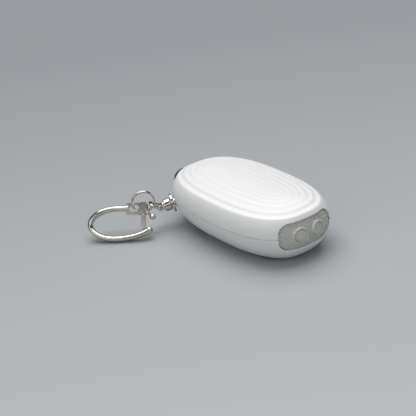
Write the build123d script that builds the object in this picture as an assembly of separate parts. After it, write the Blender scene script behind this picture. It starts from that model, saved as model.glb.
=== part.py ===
"""Personal safety alarm: a rippled pebble case with a pull pin, a chain and a trigger snap.

Millimetres, +Z up. The origin is the centre of the flat underside, +X points to the
lamp end, and the pull pin leaves the case at the back corner on the -Y side.
"""

import os
from math import asin, atan2, cos, degrees, pi, radians, sin, sqrt

from build123d import *

# Case, driving sizes
case_length = 70.0
case_width = 37.2
case_height = 20.3
seam_share = 0.5419
wall = 1.6
plan_power_share = 2.65
seam_height = case_height * seam_share
outline_points = 28

# Belly of the case, below the seam: a superelliptic quarter
belly_inset = 9.66
belly_power_share = 1.8
belly_steps = 7
skin_steps = 12

# Shoulder of the case, above the seam: a circular quarter, cut off by the crown
shoulder_over = 1.0
shoulder_inset = 3.75
shoulder_steps = 6
shoulder_radius = case_height - seam_height + shoulder_over

# Ripples in the crown: each ring is a groove with a low rounded ridge inside it
ripple_count = 6
ripple_pitch = 2.38
groove_width = 1.15
groove_depth = 0.42
crown_shrink_share = 0.62

# Seam between the covers
lip_thickness = 0.8
lip_height = 1.0
lip_clearance = 0.1
overrun = 2.0

# Clear front window and the lamp behind it
window_width = 21.8
window_height = 10.0
window_radius = 4.1
window_recess = 0.4
window_clearance = 0.12
lens_thickness = 1.2
lens_seat_gap = 0.25
lamp_spacing = 7.3
lamp_diameter = 5.0
lamp_length = 7.4
lamp_flange_diameter = 5.8
lamp_flange_height = 1.0
lamp_clearance = 0.1
lamp_ring_width = 0.45
lamp_ring_rise = 0.3
lead_diameter = 0.5
lead_spacing = 2.54
lead_length = 2.4
reflector_depth = 4.2
reflector_margin = 0.2

# Circuit board, standing on the screw posts
board_thickness = 1.0
board_over_seam = 1.4
board_height = seam_height + board_over_seam
board_inset = 2.9
board_front = 24.2
board_back = -28.0
board_clearance = 0.2
chip_length = 5.0
chip_width = 4.0
chip_height = 1.6
coil_diameter = 6.0
coil_gap = 1.6
coil_flange = 0.8
coil_waist = 3.6
capacitor_diameter = 4.0
capacitor_gap = 1.2

# Case screws and their posts
post_radius = 2.7
post_spigot_radius = 1.9
screw_diameter = 2.0
screw_clearance = 0.05
screw_head_diameter = 3.6
screw_head_height = 1.4
screw_head_clearance = 0.2
screw_sink = 3.0
screw_bite = 4.0
screw_slot = 0.6
front_post_x = 20.3
front_post_y = 9.0
back_post_x = -14.0
back_post_y = 12.8
spigot_bite = 0.15

# Sounder
sounder_x = 6.2
piezo_diameter = 24.6
piezo_thickness = 0.3
ceramic_diameter = 18.0
ceramic_thickness = 0.25
sounder_height = 4.6
sounder_seat_width = 1.2
sounder_wall = 0.9
sounder_ring_height = 1.5
sounder_hole_diameter = 2.0
sounder_hole_circle = 8.4
sounder_hole_count = 6
sounder_top = sounder_height + piezo_thickness + sounder_ring_height
coil_height = board_height - sounder_top - coil_gap
capacitor_height = board_height - sounder_top - capacitor_gap

# Button cells, lying along X in a well that the belly door closes
cell_diameter = 11.6
cell_length = 5.4
cell_count = 3
cell_button_diameter = 7.6
cell_button_height = 0.6
cell_y = 2.4
cell_front = -8.6
cell_clearance = 0.3
contact_thickness = 0.3
contact_width = 7.0
contact_height = 8.0
contact_foot = 1.8
spring_depth = 1.5
board_well_margin = 0.8

# Belly door
door_length = 17.6
door_low_y = -7.4
door_high_y = 9.0
door_radius = 2.0
door_clearance = 0.15
door_screw_x = -17.0
door_screw_y = -5.0
door_post_radius = 1.9
door_post_height = 4.2
door_screw_bite = 2.6
door_screw_head_height = 0.8

# Light button in the back of the top cover
button_width = 7.0
button_height_share = 0.667
button_rise_share = 0.4624
button_radius_share = 0.42
button_clearance = 0.2
button_proud = 0.55
button_depth = 3.9
button_opening_depth = 7.0
button_stem_diameter = 2.2
button_travel = 0.4
button_travel_spare = 0.05
button_back_gap = 0.3
switch_y = -6.2
button_height = (case_height - seam_height) * button_height_share
button_radius = button_height * button_radius_share
button_middle_height = seam_height + (case_height - seam_height) * button_rise_share
button_reach = button_width / 2 - switch_y
switch_width = 3.6
switch_depth = 3.2
switch_height = 3.0
switch_setback = 0.4
switch_plunger_diameter = 1.6
switch_plunger_length = 0.6

# Pull pin: it leaves the belly square to its surface
pin_heading = 26.0
pin_droop = 12.0
pin_diameter = 2.4
pin_clearance = 0.05
pin_depth = 8.0
pin_tip = 0.5
bush_diameter = 3.4
bush_length = 3.6
collar_diameter = 6.8
collar_thickness = 1.0
collar_gap = 0.3
collar_round = 0.3
trip_width = 6.0
trip_depth = 2.6
trip_height = 4.0
trip_gap = 0.45

# Swivel barrel on the pin's head, and the wire link in its tongue
stem_diameter = 2.0
stem_length = 2.1
stem_head_diameter = 2.8
stem_head_height = 0.5
stem_clearance = 0.06
barrel_diameter = 4.6
barrel_length = 2.7
barrel_cap = 0.8
barrel_gap = 0.1
barrel_round = 0.5
neck_diameter = 3.4
neck_length = 0.4
tongue_length = 2.2
tongue_width = 2.6
tongue_thickness = 1.3
link_wire = 1.0
link_clearance = 0.06
link_width = 3.4
link_length = 4.2
link_round = 0.95
link_rise = 30.0

# Split-free jump ring through the link and through the snap's eye
ring_radius = 4.0
ring_wire = 0.8
ring_heading = 67.0
ring_link_angle = 28.0
ring_eye_angle = 27.0
ring_reach = 3.0

# Trigger snap, drawn flat: p runs along it towards the gate, q across it
snap_heading = 45.0
snap_spine_q = 0.2
snap_middle_p = -6.5
snap_half_width = 5.6
snap_left_reach = 9.7
snap_right_reach = 14.3
snap_nose_angle = 31.0
snap_arm_width = 2.1
snap_arm_depth = 2.8
snap_nose_diameter = 2.7
lug_left = -3.1
lug_right = 5.0
lug_bottom = -2.3
lug_top = 2.0
lug_thickness = 1.2
lug_round = 1.0
eye_length = 3.6
eye_width = 2.7
hub_p = 3.7
hub_q = -0.5
hub_radius = 1.2
fork_depth = 2.5
fork_length = 3.0
fork_slot = 1.1
gate_thickness = 0.9
gate_bar_depth = 2.0
gate_width = 1.5
gate_tip_gap = 0.15
gate_tip_q = -7.3
rivet_diameter = 1.2
rivet_clearance = 0.05
rivet_head_diameter = 1.8
rivet_head_height = 0.25
knob_p = 6.9
knob_q = -3.3
knob_diameter = 2.2
knob_arm = 1.0
gate_spring_thickness = 0.25
gate_spring_width = 0.9
gate_spring_gap = 0.15
gate_spring_drop = 0.3

half_length = case_length / 2
half_width = case_width / 2
door_screw_place = (door_screw_x, door_screw_y)


def oval_place(inset, turn):
    """Point of the plan outline: |x/a|^n + |y/b|^n = 1, both halves less the inset."""
    c, s = cos(turn), sin(turn)
    size = (abs(c) ** plan_power_share + abs(s) ** plan_power_share) ** (1 / plan_power_share)
    return (half_length - inset) * c / size, (half_width - inset) * s / size


def oval_wire(inset, height):
    """Plan outline at one inset and height, as a closed smooth curve."""
    places = []
    for i in range(outline_points):
        x, y = oval_place(inset, 2 * pi * i / outline_points)
        places.append((x, y, height))
    return Wire(Spline(*places, periodic=True))


def oval(inset, height):
    """Flat face inside the plan outline at one inset and height."""
    return Face(oval_wire(inset, height))


def oval_ring(outer, inner, low, high):
    """Upright band between two insets of the plan outline."""
    return extrude(Face(oval_wire(outer, low), [oval_wire(inner, low)]), high - low)


def belly_sections(inset, grow, steps):
    """Sections from the flat underside to the seam; the inset thins them like a wall."""
    sections = []
    for i in range(steps):
        angle = pi / 2 * i / (steps - 1)
        run = belly_inset * (1 - sin(angle) ** (2 / belly_power_share))
        rise = 1 - cos(angle) ** (2 / belly_power_share)
        sections.append(oval(inset + run, grow + (seam_height - grow) * rise))
    return sections


def belly_outer():
    """Closed lower half of the case."""
    return loft(belly_sections(0, 0, belly_steps))


def belly_room():
    """Space inside the belly wall, drawn up past the seam."""
    sections = belly_sections(wall, wall, belly_steps)
    sections.append(oval(wall, seam_height + overrun))
    return loft(sections)


def shoulder_place(angle, inset):
    """Inset and height of the shoulder's quarter circle, thinned by the wall."""
    radius = shoulder_radius - inset
    return inset + radius * (1 - cos(angle)), seam_height + radius * sin(angle)


def shoulder_end():
    """Angle at which the shoulder meets the first ripple."""
    return asin(sqrt(1 - (1 - shoulder_inset / shoulder_radius) ** 2))


def ripple_profile():
    """Inset and height pairs over the crown: rim, groove bottom, ridge, and so on inwards."""
    start_inset, start_height = shoulder_place(shoulder_end(), 0)
    rise = case_height - start_height
    pairs = [(start_inset, start_height)]
    for i in range(ripple_count):
        left = crown_shrink_share ** i
        after = crown_shrink_share ** (i + 1)
        inset = shoulder_inset + ripple_pitch * i
        outer = case_height - rise * left
        inner = case_height - rise * after
        pairs.append((inset + groove_width / 2, outer - groove_depth * left))
        pairs.append((inset + groove_width, inner - groove_depth * after))
        pairs.append((inset + (groove_width + ripple_pitch) / 2, inner))
        pairs.append((inset + ripple_pitch, inner - groove_depth * after / 4))
    return pairs


def shoulder_sections(inset, steps):
    """Sections from the seam to the first ripple; the inset thins them like a wall."""
    end = shoulder_end()
    return [oval(*shoulder_place(end * i / (steps - 1), inset)) for i in range(steps)]


def top_outer():
    """Closed upper half of the case: round shoulder below, rippled crown above."""
    sections = shoulder_sections(0, shoulder_steps)
    for inset, height in ripple_profile()[1:]:
        sections.append(oval(inset, height))
    return loft(sections, ruled=True)


def top_room():
    """Space inside the top cover: the shoulder less the wall, then a nearly flat ceiling."""
    sections = [oval(wall, seam_height - overrun)] + shoulder_sections(wall, shoulder_steps)
    inset, height = shoulder_place(shoulder_end(), wall)
    sections.append(oval(inset + shoulder_inset, ceiling_height()))
    return loft(sections, ruled=True)


def ceiling_height():
    """Height of the top cover's ceiling."""
    return case_height - wall - groove_depth


def skin(recess):
    """Case without ripples, thinned by a recess: what the window and button follow."""
    sections = belly_sections(recess, recess, skin_steps)
    sections += shoulder_sections(recess, skin_steps)[1:]
    return loft(sections, ruled=True)


def end_arc(inset, half):
    """Middle and radius of the arc through the outline's end and its points at +-half."""
    tip = half_length - inset
    part = (half / (half_width - inset)) ** plan_power_share
    drop = tip * (1 - (1 - part) ** (1 / plan_power_share))
    radius = (half ** 2 + drop ** 2) / (2 * drop)
    return tip - radius, radius


def front_core(recess):
    """Turned solid whose front runs a recess behind the case's front end."""
    middle, radius = end_arc(0, window_width / 2)
    reach = radius - shoulder_radius
    side = shoulder_radius - recess
    outline = Wire([
        Line((0, side), (0, -side)).edge(),
        Line((0, -side), (reach, -side)).edge(),
        ThreePointArc((reach, -side), (reach + side, 0), (reach, side)).edge(),
        Line((reach, side), (0, side)).edge(),
    ])
    core = revolve(Plane.XZ * Face(outline), Axis.Z)
    return Pos(middle, 0, seam_height) * core


def block(low, high):
    """Box between two opposite corners."""
    size = [b - a for a, b in zip(low, high)]
    middle = [(a + b) / 2 for a, b in zip(low, high)]
    return Pos(*middle) * Box(*size)


def rod(radius, place, low, high):
    """Upright cylinder at a plan place between two heights."""
    return Pos(place[0], place[1], (low + high) / 2) * Cylinder(radius, high - low)


def rod_x(radius, y, z, low, high):
    """Cylinder along X between two x values."""
    return Pos((low + high) / 2, y, z) * Rot(0, 90, 0) * Cylinder(radius, high - low)


def end_prism(width, height, radius, middle, low, high, side=0):
    """Rounded rectangle in the YZ plane, drawn out along X between two x values."""
    plane = Plane(origin=(low, side, middle), x_dir=(0, 1, 0), z_dir=(1, 0, 0))
    return extrude(plane * RectangleRounded(width, height, radius), high - low)


def along(start, way, distance):
    """Place reached from a start by going a distance along a direction."""
    return tuple(s + w * distance for s, w in zip(start, way))


def cross(a, b):
    """Vector product of two directions."""
    return (a[1] * b[2] - a[2] * b[1], a[2] * b[0] - a[0] * b[2], a[0] * b[1] - a[1] * b[0])


def touch_place(a, b, power, across, up):
    """Point of a superellipse with half sizes a and b whose normal is (across, up)."""
    fold = 1 / (power - 1)
    size = ((a * across) ** (power * fold) + (b * up) ** (power * fold)) ** (1 / power)
    return a * (a * across) ** fold / size, b * (b * up) ** fold / size


# Pull pin frame: where the belly's surface is square to the pin's direction
heading = radians(pin_heading)
droop = radians(pin_droop)
pin_way = (-sin(heading) * cos(droop), -cos(heading) * cos(droop), -sin(droop))
belly_run, belly_drop = touch_place(
    belly_inset, seam_height, belly_power_share, cos(droop), sin(droop)
)
entry_inset = belly_inset - belly_run
entry_x, entry_y = touch_place(
    half_length - entry_inset, half_width - entry_inset, plan_power_share, sin(heading), cos(heading)
)
pin_entry = (-entry_x, -entry_y, seam_height - belly_drop)
side_way = (cos(heading), -sin(heading), 0.0)
pin_plane = Plane(origin=pin_entry, x_dir=side_way, z_dir=pin_way)

# Places along the pin, counted outwards from the case's surface
collar_start = collar_gap
collar_end = collar_start + collar_thickness
barrel_start = collar_end + barrel_gap
barrel_end = barrel_start + barrel_length
neck_end = barrel_end + neck_length
link_pivot = neck_end + tongue_length - tongue_width / 2

# Wire link: it rises from its pivot in the pin's own upright plane
rise = radians(link_rise)
link_way = (-sin(heading) * cos(rise), -cos(heading) * cos(rise), sin(rise))
link_start = along(pin_entry, pin_way, link_pivot)
link_plane = Plane(origin=link_start, x_dir=link_way, z_dir=cross(link_way, side_way))

# Jump ring: it stands upright, with the link and the snap's eye on its lower half
ring_way = (cos(radians(ring_heading)), sin(radians(ring_heading)), 0.0)
link_hold = along(link_start, link_way, ring_reach)
link_arm = (
    ring_way[0] * cos(radians(ring_link_angle)),
    ring_way[1] * cos(radians(ring_link_angle)),
    -sin(radians(ring_link_angle)),
)
ring_middle = along(link_hold, link_arm, -ring_radius)
eye_arm = (
    -ring_way[0] * cos(radians(ring_eye_angle)),
    -ring_way[1] * cos(radians(ring_eye_angle)),
    -sin(radians(ring_eye_angle)),
)
eye_place = along(ring_middle, eye_arm, ring_radius)
ring_plane = Plane(origin=ring_middle, x_dir=ring_way, z_dir=(ring_way[1], -ring_way[0], 0.0))

# Trigger snap: it leans from the eye down to the arm that rests on the floor
snap_low_q = snap_spine_q - 2 * snap_half_width
snap_drop = -snap_low_q
tilt = asin((eye_place[2] - snap_arm_depth / 2) / snap_drop)
for step in range(12):
    edge = snap_arm_width / 2 * sin(tilt)
    edge = sqrt(edge ** 2 + (snap_arm_depth / 2 * cos(tilt)) ** 2)
    tilt = asin((eye_place[2] - edge) / snap_drop)
snap_way = (cos(radians(snap_heading)), sin(radians(snap_heading)), 0.0)
snap_up = (-snap_way[1] * cos(tilt), snap_way[0] * cos(tilt), sin(tilt))
snap_plane = Plane(origin=eye_place, x_dir=snap_way, z_dir=cross(snap_way, snap_up))


def door_prism(margin, low, high):
    """Upright rounded prism of the belly door, grown by a margin."""
    length = door_length + 2 * margin
    width = door_high_y - door_low_y + 2 * margin
    x = cell_front + cell_clearance - door_length / 2
    y = (door_low_y + door_high_y) / 2
    sketch = Pos(x, y, low) * RectangleRounded(length, width, door_radius + margin)
    return extrude(sketch, high - low)


post_places = [
    (front_post_x, front_post_y),
    (front_post_x, -front_post_y),
    (back_post_x, back_post_y),
    (back_post_x, -back_post_y),
]


def sounder_holes():
    """Ring of sound holes, with one in the middle."""
    radius = sounder_hole_diameter / 2
    holes = [rod(radius, (sounder_x, 0), -overrun, sounder_height)]
    for i in range(sounder_hole_count):
        turn = 2 * pi * i / sounder_hole_count
        x = sounder_x + sounder_hole_circle / 2 * cos(turn)
        y = sounder_hole_circle / 2 * sin(turn)
        holes.append(rod(radius, (x, y), -overrun, sounder_height))
    return holes


def sounder_seat():
    """Round wall on the belly's floor that the sounder plate lies on, with a locating rim."""
    outer = piezo_diameter / 2 + sounder_wall
    rim_top = sounder_height + piezo_thickness
    middle = (sounder_x, 0)
    ring = rod(outer, middle, 0, rim_top)
    ring -= rod(piezo_diameter / 2 - sounder_seat_width, middle, -overrun, rim_top + overrun)
    ring -= rod(piezo_diameter / 2 + lip_clearance, middle, sounder_height, rim_top + overrun)
    return ring


def window_prism(margin):
    """Front window, grown by a margin, from behind the reflector to past the case."""
    return end_prism(
        window_width + 2 * margin,
        window_height + 2 * margin,
        window_radius + margin,
        seam_height,
        half_length - overrun - window_radius - reflector_depth,
        half_length + overrun,
    )


def button_prism(margin, depth):
    """Outline of the light button, grown by a margin, from outside to a depth in the case."""
    return end_prism(
        button_width + 2 * margin,
        button_height + 2 * margin,
        button_radius + margin,
        button_middle_height,
        -half_length - overrun,
        -half_length + depth,
        switch_y,
    )


def bush_bore():
    """Cylinder that the pin's bush fills, long enough to cut both covers."""
    return pin_plane * Cylinder(bush_diameter / 2, 2 * pin_depth)


def seam_lip():
    """Upright lip inside the seam; below the seam it is joined to the belly wall."""
    outer = wall + lip_clearance
    inner = outer + lip_thickness
    lip = oval_ring(outer, inner, seam_height, seam_height + lip_height)
    return lip + oval_ring(wall - lip_clearance, inner, seam_height - lip_height, seam_height)


def make_bottom_cover():
    """Lower shell: belly wall, seam lip, screw posts, sounder seat, door post, pin seat."""
    room = belly_room()
    for place in post_places:
        room -= rod(post_radius, place, 0, seam_height + overrun)
    room -= [sounder_seat(), door_post()]
    cover = belly_outer() - room
    for place in post_places:
        cover += rod(post_radius, place, seam_height - lip_height, board_height)
    cover += [seam_lip(), bush_boss()]
    cover -= door_prism(0, -overrun, seam_height / 2) - door_post()
    cover -= rod(screw_hole(), door_screw_place, 0, door_screw_tip() + screw_clearance)
    head = (screw_head_diameter + screw_head_clearance) / 2
    for place in post_places:
        cover -= rod(screw_hole(), place, -overrun, board_height + overrun)
        cover -= rod(head, place, -overrun, screw_sink + screw_head_height)
    cover -= sounder_holes()
    cover -= window_prism(0)
    return cover - bush_bore()


def screw_hole():
    """Radius of the hole a screw passes or bites in."""
    return screw_diameter / 2 + screw_clearance


def door_screw_tip():
    """Height of the door screw's tip."""
    return wall + contact_thickness + door_screw_bite


def door_post():
    """Post beside the cells that takes the door's screw, webbed to the belly wall."""
    top = wall + door_post_height
    low = wall + contact_thickness
    web_half = door_post_radius / 2
    web = block((door_screw_x - web_half, -half_width, low), (door_screw_x + web_half, door_screw_y, top))
    return rod(door_post_radius, door_screw_place, low, top) + web


def bush_boss():
    """Thick seat around the pin's bush, from inside the belly wall inwards."""
    length = bush_length - wall / 2
    seat = Pos(0, 0, length / 2 - bush_length) * Cylinder(bush_diameter / 2 + wall, length)
    below = block((-case_length, -case_length, 0), (0, 0, seam_height))
    return (pin_plane * seat) & below


def make_top_cover():
    """Upper shell with the ripples, the screw spigots, and the openings at both ends."""
    cover = top_outer() - top_room()
    for place in post_places:
        cover += rod(post_spigot_radius, place, board_height, ceiling_height() + spigot_bite)
        cover -= rod(screw_hole(), place, seam_height, screw_top() + screw_clearance)
    cover -= window_prism(0)
    cover -= button_prism(button_clearance, button_opening_depth)
    return cover - bush_bore()


def screw_top():
    """Height of the case screws' tips."""
    return board_height + screw_bite


def make_battery_door():
    """Piece of the belly wall over the cells, fixed by one screw."""
    door = belly_outer() & door_prism(-door_clearance, -overrun, seam_height / 2)
    door -= belly_room()
    door -= rod(screw_hole(), door_screw_place, -overrun, seam_height)
    head = (screw_head_diameter + screw_head_clearance) / 2
    return door - rod(head, door_screw_place, -overrun, door_screw_head_height)


def screw(place, head_bottom, head_height, tip):
    """Screw, head down, with a cross recess."""
    body = rod(screw_head_diameter / 2, place, head_bottom, head_bottom + head_height)
    body += rod(screw_diameter / 2, place, head_bottom, tip)
    reach = screw_head_diameter / 3
    for x, y in ((reach, screw_slot / 2), (screw_slot / 2, reach)):
        low = (place[0] - x, place[1] - y, head_bottom - screw_slot)
        high = (place[0] + x, place[1] + y, head_bottom + screw_slot)
        body -= block(low, high)
    return body


def make_front_lens():
    """Clear cover that follows the case's front, with a raised ring over each lamp."""
    back = front_core(window_recess + lens_thickness)
    lens = (window_prism(-window_clearance) & front_core(window_recess)) - back
    radius = lamp_diameter / 2
    for y in (-lamp_spacing / 2, lamp_spacing / 2):
        ring = rod_x(radius + lamp_ring_width, y, seam_height, lamp_tip(), half_length + overrun)
        ring -= rod_x(radius, y, seam_height, half_length / 2, half_length + overrun)
        lens += (ring & front_core(window_recess - lamp_ring_rise)) - back
    return lens


def lamp_tip():
    """x of the lamps' domes, just behind the lens."""
    middle, radius = end_arc(0, window_width / 2)
    reach = radius - window_recess - lens_thickness - lens_seat_gap
    return middle + sqrt(reach ** 2 - (lamp_spacing / 2) ** 2)


def make_reflector():
    """Bright block behind the lens with a flared bore for each lamp."""
    back = lamp_tip() - reflector_depth
    body = end_prism(
        window_width - 2 * reflector_margin,
        window_height - 2 * reflector_margin,
        window_radius - reflector_margin,
        seam_height,
        back,
        half_length,
    )
    body &= front_core(window_recess + lens_thickness + lens_seat_gap)
    for y in (-lamp_spacing / 2, lamp_spacing / 2):
        bore = lamp_diameter / 2 + lamp_clearance
        body -= rod_x(bore, y, seam_height, back - overrun, half_length)
        flare = Pos(lamp_tip() - lamp_diameter / 4, y, seam_height) * Rot(0, 90, 0)
        body -= flare * Cone(bore, bore + lamp_clearance + lamp_diameter / 8, lamp_diameter / 2)
    return body


def make_lamp(y):
    """Five millimetre lamp: dome, barrel, flange and two legs bent up to the board."""
    radius = lamp_diameter / 2
    tip = lamp_tip()
    base = tip - lamp_length
    body = rod_x(radius, y, seam_height, base, tip - radius)
    body += Pos(tip - radius, y, seam_height) * Sphere(radius)
    body += rod_x(lamp_flange_diameter / 2, y, seam_height, base, base + lamp_flange_height)
    leg = lead_diameter / 2
    for side in (y - lead_spacing / 2, y + lead_spacing / 2):
        back = base - lead_length
        body += block((back, side - leg, seam_height - leg), (base + leg, side + leg, seam_height + leg))
        body += block((back, side - leg, seam_height - leg), (back + 2 * leg, side + leg, board_height))
    return body


def make_board():
    """Circuit board: plan outline, cut straight at both ends, open over the cells."""
    board = extrude(oval(board_inset, board_height), board_thickness)
    board &= block((board_back, -half_width, 0), (board_front, half_width, case_height))
    for place in post_places:
        radius = post_spigot_radius + board_clearance
        board -= rod(radius, place, 0, case_height)
    well = cell_diameter / 2 + board_well_margin
    back = cell_front - cell_count * cell_length - spring_depth - board_well_margin
    front = cell_front + board_well_margin
    return board - block((back, cell_y - well, 0), (front, cell_y + well, case_height))


def make_chip():
    """Sound and timing chip under the board, with its two rows of legs."""
    top = board_height
    x = sounder_x
    body = block(
        (x - chip_length / 2, -chip_width / 2, top - chip_height),
        (x + chip_length / 2, chip_width / 2, top),
    )
    legs = 4
    leg = chip_length / (2 * legs)
    for i in range(legs):
        low_x = x - chip_length / 2 + chip_length * (i + 1 / 4) / legs
        body += block(
            (low_x, -chip_width / 2 - leg, top - leg / 2),
            (low_x + leg, chip_width / 2 + leg, top),
        )
    return body


def make_coil():
    """Drum coil that lifts the cell voltage for the sounder."""
    place = (sounder_x + piezo_diameter / 3, -coil_diameter)
    low = board_height - coil_height
    body = rod(coil_waist / 2, place, low, board_height)
    body += rod(coil_diameter / 2, place, low, low + coil_flange)
    body += rod(coil_diameter / 2, place, board_height - coil_flange, board_height)
    winding = (coil_diameter + coil_waist) / 4
    return body + rod(winding, place, low + coil_flange, board_height - coil_flange)


def make_capacitor():
    """Upright can capacitor under the board."""
    place = (sounder_x + piezo_diameter / 3, coil_diameter)
    body = rod(capacitor_diameter / 2, place, board_height - capacitor_height, board_height)
    rim = body.edges().group_by(Axis.Z)[0]
    return fillet(rim, capacitor_diameter / 10)


def make_piezo_plate():
    """Thin brass disc of the sounder."""
    top = sounder_height + piezo_thickness
    return rod(piezo_diameter / 2, (sounder_x, 0), sounder_height, top)


def make_piezo_ceramic():
    """Ceramic layer on the brass disc."""
    low = sounder_height + piezo_thickness
    return rod(ceramic_diameter / 2, (sounder_x, 0), low, low + ceramic_thickness)


def make_sounder_ring():
    """Plastic ring that holds the brass disc down on its seat."""
    low = sounder_height + piezo_thickness
    ring = rod(piezo_diameter / 2 + sounder_wall, (sounder_x, 0), low, low + sounder_ring_height)
    hole = piezo_diameter / 2 - sounder_seat_width
    return ring - rod(hole, (sounder_x, 0), 0, seam_height)


def cell_height():
    """Height of the cells' axis over the underside."""
    return wall + contact_thickness + cell_clearance + cell_diameter / 2


def make_cells():
    """Row of button cells, each a can with a smaller button end."""
    cells = []
    z = cell_height()
    for i in range(cell_count):
        front = cell_front - i * cell_length
        back = front - cell_length
        can = rod_x(cell_diameter / 2, cell_y, z, back + cell_button_height, front)
        can = can + rod_x(cell_button_diameter / 2, cell_y, z, back, front)
        cells.append(can.solid())
    return Compound(cells)


def make_contact():
    """Front contact: a flat plate with a foot bent over the board."""
    half = contact_width / 2
    back = cell_front + contact_thickness
    low_z = cell_height() - contact_height / 2
    top_z = board_height + board_thickness
    plate = block((cell_front, cell_y - half, low_z), (back, cell_y + half, top_z))
    low = (cell_front, cell_y - half, top_z)
    return plate + block(low, (cell_front + contact_foot, cell_y + half, top_z + contact_thickness))


def make_spring():
    """Back contact: a plate with a foot over the board and a bowed tongue against the cells."""
    z = cell_height()
    half = contact_width / 2
    end = cell_front - cell_count * cell_length
    back = end - spring_depth
    low_z = z - contact_height / 2
    top_z = board_height + board_thickness
    front = back + contact_thickness
    plate = block((back, cell_y - half, low_z), (front, cell_y + half, top_z))
    low = (front - contact_foot, cell_y - half, top_z)
    plate += block(low, (front, cell_y + half, top_z + contact_thickness))
    third = contact_height / 3
    tongue = ThreePointArc((back, z + third), (end - contact_thickness / 2, z), (back, z - third))
    side = Plane(origin=(0, cell_y + half / 2, 0), x_dir=(1, 0, 0), z_dir=(0, -1, 0))
    return plate + extrude(side * trace(tongue, contact_thickness), half)


def make_button():
    """Light button: a slice of the case's skin that stands proud, with a stem behind it."""
    middle, radius = end_arc(button_depth, button_reach)
    depth = button_opening_depth - button_travel - button_back_gap
    body = skin(-button_proud) & button_prism(0, depth)
    body -= rod(radius, (-middle, 0), 0, case_height + overrun)
    back = -middle - sqrt(radius ** 2 - switch_y ** 2)
    stem = button_stem_diameter / 2
    return body + rod_x(stem, switch_y, button_middle_height, back - button_proud, button_stop())


def button_stop():
    """x of the stem's end, its travel short of the switch's plunger."""
    return switch_back() - switch_plunger_length - button_travel - button_travel_spare


def switch_back():
    """x of the switch's face towards the button."""
    return board_back + switch_setback


def make_light_switch():
    """Side-push switch on the board's back edge."""
    low_z = board_height + board_thickness
    back = switch_back()
    half = switch_width / 2
    body = block(
        (back, switch_y - half, low_z),
        (back + switch_depth, switch_y + half, low_z + switch_height),
    )
    start = back - switch_plunger_length
    return body + rod_x(switch_plunger_diameter / 2, switch_y, button_middle_height, start, back + half)


def make_pin_bush():
    """Metal bush in the belly wall that the pull pin slides in."""
    outer = bush_diameter / 2
    body = Pos(0, 0, -bush_length / 2) * Cylinder(outer, bush_length)
    body -= Cylinder(pin_diameter / 2 + pin_clearance, 2 * pin_depth)
    return pin_plane * body


def make_pull_pin():
    """Pull pin: rounded tip, shank through the bush, and the stem the barrel turns on."""
    tip = -pin_depth
    shank = Pos(0, 0, (tip + collar_start) / 2) * Cylinder(pin_diameter / 2, collar_start - tip)
    shank = chamfer(shank.edges().group_by(Axis.Z)[0], pin_tip)
    stem_end = collar_end + stem_length - stem_head_height
    stem = Pos(0, 0, (collar_start + stem_end) / 2) * Cylinder(stem_diameter / 2, stem_end - collar_start)
    head_end = stem_end + stem_head_height
    head = Pos(0, 0, (stem_end + head_end) / 2) * Cylinder(stem_head_diameter / 2, stem_head_height)
    return pin_plane * (shank + stem + head)


def make_pin_collar():
    """Round collar pressed on the stem, which stops the pin against the case."""
    disc = Pos(0, 0, (collar_start + collar_end) / 2) * Cylinder(collar_diameter / 2, collar_thickness)
    disc = fillet(disc.edges(), collar_round)
    return pin_plane * (disc - Cylinder(stem_diameter / 2, 2 * collar_end))


def make_barrel():
    """Swivel barrel: a hollow cap that turns on the pin's stem, with a tongue for the link."""
    body = Pos(0, 0, (barrel_start + barrel_end) / 2) * Cylinder(barrel_diameter / 2, barrel_length)
    body = fillet(body.edges(), barrel_round)
    body += Pos(0, 0, (barrel_end + neck_end) / 2) * Cylinder(neck_diameter / 2, neck_length)
    tongue_end = neck_end + tongue_length
    tongue = Pos(0, 0, (barrel_end + tongue_end) / 2) * Box(tongue_thickness, tongue_width, tongue_end - barrel_end)
    ends = tongue.edges().filter_by(Axis.X).group_by(Axis.Z)[-1]
    body += fillet(ends, tongue_width / 2 - barrel_gap / 2)
    body -= Pos(0, 0, link_pivot) * Rot(0, 90, 0) * Cylinder(link_wire / 2 + link_clearance, tongue_width)
    stem_hole = stem_diameter / 2 + stem_clearance
    body -= Pos(0, 0, (collar_end + barrel_end) / 2) * Cylinder(stem_hole, barrel_end - collar_end)
    stem_end = collar_end + stem_length
    room_low = stem_end - stem_head_height - 2 * stem_clearance
    room_high = stem_end + 2 * stem_clearance
    room = stem_head_diameter / 2 + stem_clearance
    body -= Pos(0, 0, (room_low + room_high) / 2) * Cylinder(room, room_high - room_low)
    return pin_plane * body


def make_link():
    """Closed wire link: one straight end bar turns in the barrel's tongue."""
    middle = link_length / 2
    outline = Pos(middle, 0) * RectangleRounded(link_length, link_width, link_round)
    path = link_plane * outline.wire()
    start = path @ 0
    section = Plane(origin=start, z_dir=path % 0) * Circle(link_wire / 2)
    return sweep(section, path=path)


def make_jump_ring():
    """Round wire ring through the link and the snap's eye."""
    return ring_plane * Torus(ring_radius, ring_wire / 2)


def snap_path():
    """Centre line of the snap's arm: spine, half ellipse, and a longer quarter to the nose."""
    top = (snap_middle_p, snap_spine_q)
    middle = (snap_middle_p, snap_spine_q - snap_half_width)
    spine = Line((lug_left + lug_round, snap_spine_q), top)
    bend = EllipticalCenterArc(middle, snap_left_reach, snap_half_width, 90, arc_size=180)
    rest = 90 - snap_nose_angle
    arm = EllipticalCenterArc(middle, snap_right_reach, snap_half_width, 270, arc_size=rest)
    return Wire([spine.edge(), bend.edge(), arm.edge()])


def nose_place():
    """Place of the rounded nose that the gate shuts against."""
    turn = radians(-snap_nose_angle)
    p = snap_middle_p + snap_right_reach * cos(turn)
    q = snap_spine_q - snap_half_width + snap_half_width * sin(turn)
    return p, q


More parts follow.
